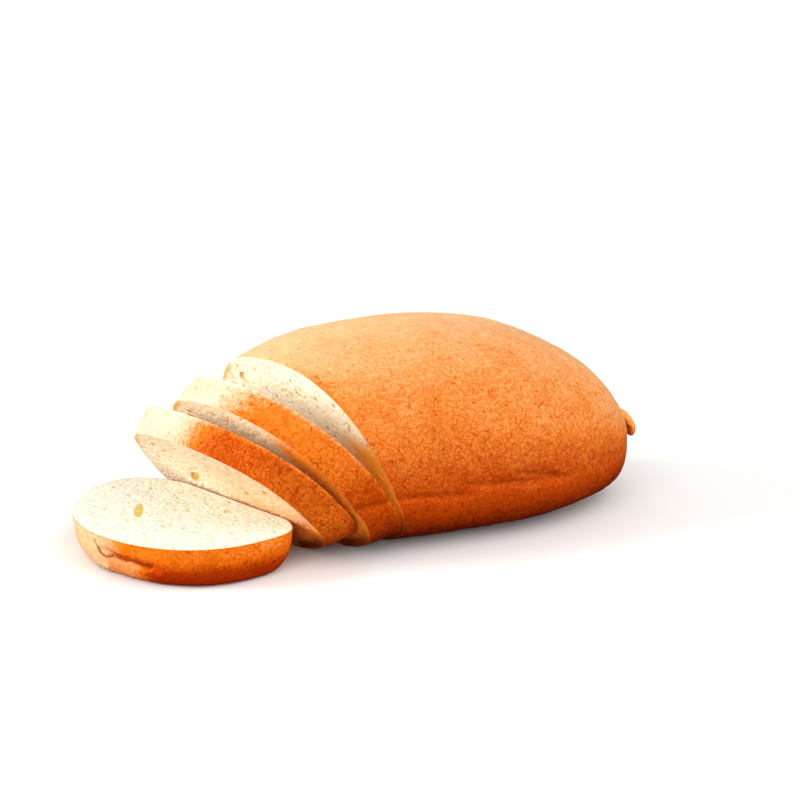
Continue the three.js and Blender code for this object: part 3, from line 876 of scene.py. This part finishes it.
TEAR_FROM = np.radians(88)
TEAR_TO = np.radians(127)
TEAR_FADE = np.radians(8)
TEAR_TOP = 16
TEAR_FALL = 7
TEAR_DEPTH = 3
TEAR_HALF_WIDTH = 2.4
TEAR_LINE = [
    (87.5, 21.4), (89.5, 17.5), (90.7, 13.2), (93.2, 11.8),
    (97.3, 14.6), (103.9, 13.2), (111, 12.5), (120.2, 11.8),
]
TEAR_LINE_HALF_WIDTH = 0.9
TEAR_LINE_DEPTH = 0.9
PUCKER_STEP = 3.4
PUCKER_FADES = [(92, 98), (122, 112)]
PUCKER_DEPTH = 0.4
PATCH_HEIGHT = 0.6
SPOT_DEPTH = 0.5
MM_A_DEGREE = 1.15
TORN_PATCHES = [(78, 2.8, 3.2), (84, 3.4, 2.6), (89, 2.0, 3.0), (92, 6.0, 2.4)]
SCORCHED_SPOT = (75, 6.0, 2.6)


def heel_outline(angle):
    """The heel's cut face: across, and up from the loaf's flat foot."""
    front = np.cos(angle) < 0
    across, up = section_point(
        angle, HEEL_HALF_WIDTH, HEEL_WIDEST_LEVEL, HEEL_LENGTH - HEEL_WIDEST_LEVEL,
        HEEL_WIDEST_LEVEL * FOOT_DEPTH,
        np.where(front, HEEL_FRONT_ROUNDNESS[0], HEEL_BACK_ROUNDNESS[0]),
        np.where(front, HEEL_FRONT_ROUNDNESS[1], HEEL_BACK_ROUNDNESS[1]))
    return np.stack([across, np.maximum(up, 0)], -1)


def tear_at(angle, z):
    """How open the heel's tear is at a place on its side."""
    reach = smooth(TEAR_FROM, TEAR_FROM + TEAR_FADE, angle)
    reach = reach * (1 - smooth(TEAR_TO - TEAR_FADE, TEAR_TO, angle))
    level = TEAR_TOP - TEAR_FALL * (angle - TEAR_FROM)
    return reach * np.exp(-(((z - level) / TEAR_HALF_WIDTH) ** 2))


def to_tear_line(degrees, z):
    """How far a place on the heel's side is from the line where its crust has parted, in mm."""
    nearest = np.full(degrees.shape, np.inf)
    for start, end in zip(TEAR_LINE, TEAR_LINE[1:]):
        step = np.array([(end[0] - start[0]) * MM_A_DEGREE, end[1] - start[1]])
        from_x, from_z = (degrees - start[0]) * MM_A_DEGREE, z - start[1]
        t = np.clip((from_x * step[0] + from_z * step[1]) / (step @ step), 0, 1)
        nearest = np.minimum(nearest, np.hypot(from_x - t * step[0], from_z - t * step[1]))
    return nearest


def round_spot(degrees, z, spot):
    """A soft round spot on the heel's side."""
    off = np.hypot((degrees - spot[0]) * MM_A_DEGREE, z - spot[1])
    return smooth(spot[2], spot[2] * 0.6, off)


heel_angles = even_angles(heel_outline, 4 * FACE_CELLS)
heel_rim = np.concatenate([heel_outline(heel_angles), np.full((len(heel_angles), 1), HEEL_HEIGHT)], -1)
column_angles = heel_angles[::2]
lean = np.pi / 2 * np.linspace(0, 1, HEEL_ROWS)[:, None]
fullness = np.maximum(np.cos(np.pi / 2 - lean), 0) ** HEEL_FULLNESS
heel_z = HEEL_HEIGHT * (1 - np.cos(lean)) + 0 * column_angles
HEEL_CRUST = crust_material(
    "heel_crust", (0.88, 0.74, 0.44, 1), (0.97, 0.22, 0.006, 1), (0.46, 0.038, 0.0006, 1),
    (0.2, 0.025, 0.002, 1), 0.24, 0.12)
HEEL_CRUMB = crumb_material(
    "heel_crumb", (0.78, 0.75, 0.64, 1), (0.66, 0.59, 0.36, 1), (0.86, 0.7, 0.16, 1),
    (0.72, 0.4, 0.1, 1), (0.55, 0.15, 0.015, 1), 0.8, 0.4)

# From the flat base ring up to the cut face's rim
middle = np.array([0, HEEL_CENTRE_UP])
spokes = heel_outline(column_angles) - middle
reach = np.linalg.norm(spokes, axis=1)
tear = tear_at(column_angles, heel_z) * (np.arange(HEEL_ROWS) < HEEL_ROWS - 1)[:, None]
draw_across = HEEL_BASE_ACROSS + (1 - HEEL_BASE_ACROSS) * fullness - TEAR_DEPTH * tear / reach
draw_up = HEEL_BASE_UP + (1 - HEEL_BASE_UP) * fullness - TEAR_DEPTH * tear / reach
heel_crust = np.stack([spokes[:, 0] * draw_across, spokes[:, 1] * draw_up + HEEL_CENTRE_UP, heel_z], -1)
baked_place = np.stack([HEEL_BAKED_X - heel_crust[..., 2], heel_crust[..., 0], heel_crust[..., 1]], -1)
rows_in = np.minimum(np.arange(HEEL_ROWS), np.arange(HEEL_ROWS)[::-1])[:, None]
round_degrees = np.degrees(column_angles) + 0 * heel_z
ragged_degrees = round_degrees + 0.8 * soft_noise(heel_crust, 3.0, 92)
ragged_z = heel_z + 0.7 * soft_noise(heel_crust, 3.2, 93)
tear_line = np.exp(-((to_tear_line(ragged_degrees, ragged_z) / TEAR_LINE_HALF_WIDTH) ** 2))
below_tear = smooth(1.0, -1.0, ragged_z - np.interp(round_degrees, *zip(*TEAR_LINE)))
puckers = np.cos(2 * np.pi * ragged_degrees / PUCKER_STEP) ** 4 * below_tear
for start, end in PUCKER_FADES:
    puckers = puckers * smooth(start, end, round_degrees)
torn_patches = np.max([round_spot(ragged_degrees, ragged_z, spot) for spot in TORN_PATCHES], axis=0)
scorched = round_spot(ragged_degrees, ragged_z, SCORCHED_SPOT)
relief = skin_relief(baked_place) - TEAR_LINE_DEPTH * tear_line - PUCKER_DEPTH * puckers
relief = relief + PATCH_HEIGHT * torn_patches - SPOT_DEPTH * scorched
wrinkled = heel_crust + (relief * np.clip(rows_in / 2, 0, 1))[..., None] * grid_normals(heel_crust)

face, face_from, face_triangles, face_order = spread_face(heel_rim, FACE_CELLS)
face_pore, sunk = crumb_depth(face[:, 0], face[:, 1], face_from, HEEL_HOLES, HEEL_SEED)
face[:, 2] -= sunk * (face_from > 0)
base, base_from, base_triangles, base_order = spread_face(wrinkled[0], BACK_FACE_CELLS)

columns = len(column_angles)
body_start = len(base)
face_start = body_start + (HEEL_ROWS - 2) * columns
heel_points = np.concatenate([base, wrinkled[1:-1].reshape(-1, 3), face])
first_ring = body_start + np.arange(columns)
last_ring = face_start - columns + np.arange(columns)
heel_shell = np.concatenate([
    base_triangles[:, ::-1],
    np.stack([base_order, np.roll(base_order, -1), first_ring], -1),
    np.stack([np.roll(base_order, -1), np.roll(first_ring, -1), first_ring], -1),
    ring_triangles(body_start, HEEL_ROWS - 2, columns),
    stitch_rim(face_start + face_order, last_ring)[:, ::-1]])
heel_points[:, 2] = np.maximum(heel_points[:, 2], 0)

heel_turn = np.degrees(np.arctan2(cut_across[1], cut_across[0])) + HEEL_YAW
lying = heel_points @ turned(heel_turn, (0, 0, 1)).T + HEEL_FOOT
heel_tones = {label: np.zeros(len(heel_points)) for label in loaf_tones}
heel_tones["bake_and_light"] += HEEL_BASE_TONE
side = slice(body_start, face_start)
browning_down = 0.5 + 0.5 * smooth(20, 5, heel_z)
paled = smooth(20, 50, ragged_degrees)
over_tear = browning_down + (0.1 - browning_down) * paled * smooth(105, 88, ragged_degrees)
under_tear = browning_down + (0.36 - browning_down) * paled * smooth(122, 108, ragged_degrees)
under_tear -= 0.24 * paled * smooth(98, 88, ragged_degrees)
heel_bake = over_tear + (under_tear - over_tear) * below_tear
heel_bake = heel_bake * (1 - torn_patches) + 0.45 * scorched + 0.05 * soft_noise(baked_place, 14.0, 90)
heel_tones["bake_and_light"][side] = heel_bake[1:-1].ravel()
# Painted shade along the tear and in its puckers, and a darker rim round the torn patches
heel_tones["crease"][side] = np.max(
    [0.9 * tear_line, 0.12 * puckers, 1.4 * torn_patches * (1 - torn_patches)], axis=0)[1:-1].ravel()
heel_tones["pore"][face_start:] = face_pore
polar = np.degrees(np.arctan2(face[:, 1] - HEEL_WIDEST_LEVEL, face[:, 0]))
heel_tones["from_rim"][face_start:] = face_from + 2.5 * smooth(10, 40, polar) * smooth(104, 90, polar)

heel = bread_mesh(
    "heel_bread", lying + LOAF_ORIGIN, heel_shell, face_triangles + face_start,
    face_start + face_order, heel_tones, [HEEL_CRUST, HEEL_CRUMB])
on_part(heel, "heel")

# A plain pale floor, which throws a warm light back on the bread. Plain soft studio light: a low
# key from the left, a broad fill from the front right, a weak light from the front left and a
# bright even surround.

FLOOR_PALE = (0.86, 0.85, 0.84, 1)
FLOOR_WARM = (0.3, 0.16, 0.09, 1)
SURROUND_STRENGTH = 0.7
LIGHTER_BACKGROUND = 0.4

floor_mesh = bpy.data.meshes.new("floor")
floor_mesh.from_pydata([(-4, -4, 0), (4, -4, 0), (4, 4, 0), (-4, 4, 0)], [], [(0, 1, 2, 3)])
floor = bpy.data.objects.new("floor", floor_mesh)
floor_paint = bpy.data.materials.new("floor_paint")
floor_paint.use_nodes = True
paint = floor_paint.node_tree
seen = add_node(paint, "ShaderNodeLightPath").outputs["Is Camera Ray"]
tint = blend_colours(paint, seen, FLOOR_WARM, FLOOR_PALE)
paint.links.new(tint, paint.nodes["Principled BSDF"].inputs["Base Color"])
paint.nodes["Principled BSDF"].inputs["Roughness"].default_value = 0.7
paint.nodes["Principled BSDF"].inputs["Specular IOR Level"].default_value = 0.0
floor_mesh.materials.append(floor_paint)
bpy.context.scene.collection.objects.link(floor)


def soft_light(name, toward, strength, spread, colour):
    """An even light from one side, as soft as its spread in degrees."""
    lamp = bpy.data.lights.new(name, "SUN")
    lamp.energy = strength
    lamp.angle = np.radians(spread)
    lamp.color = colour
    holder = bpy.data.objects.new(name, lamp)
    holder.rotation_euler = Vector(toward).to_track_quat("Z", "Y").to_euler()
    bpy.context.scene.collection.objects.link(holder)


soft_light("key", (-0.9, 0.28, 0.3), 3.2, 30, (1.0, 0.99, 0.96))
soft_light("fill", (0.58, -0.66, 0.65), 1.8, 70, (1.0, 0.99, 0.97))
soft_light("front", (-0.5, -0.66, 0.4), 1.1, 50, (1.0, 0.99, 0.97))

surround = bpy.data.worlds.new("surround")
surround.use_nodes = True
sky = surround.node_tree
sky.nodes["Background"].inputs["Color"].default_value = (1, 1, 1, 1)
bare = add_node(sky, "ShaderNodeLightPath").outputs["Is Camera Ray"]
strength = arithmetic(sky, "MULTIPLY_ADD", bare, LIGHTER_BACKGROUND, SURROUND_STRENGTH)
sky.links.new(strength, sky.nodes["Background"].inputs["Strength"])
bpy.context.scene.world = surround
bpy.context.scene.view_settings.view_transform = "Standard"

CAMERA_PLACE = np.array([-695.3, -1566.9, 569.8])
CAMERA_TILT = 73.71
CAMERA_TURN = -24.0

lens = bpy.data.cameras.new("photo_view")
lens.lens = 135
lens.sensor_width = 36
camera = bpy.data.objects.new("photo_view", lens)
camera.location = (CAMERA_PLACE + LOAF_ORIGIN) * MM
camera.rotation_euler = (np.radians(CAMERA_TILT), 0, np.radians(CAMERA_TURN))
bpy.context.scene.collection.objects.link(camera)
bpy.context.scene.camera = camera
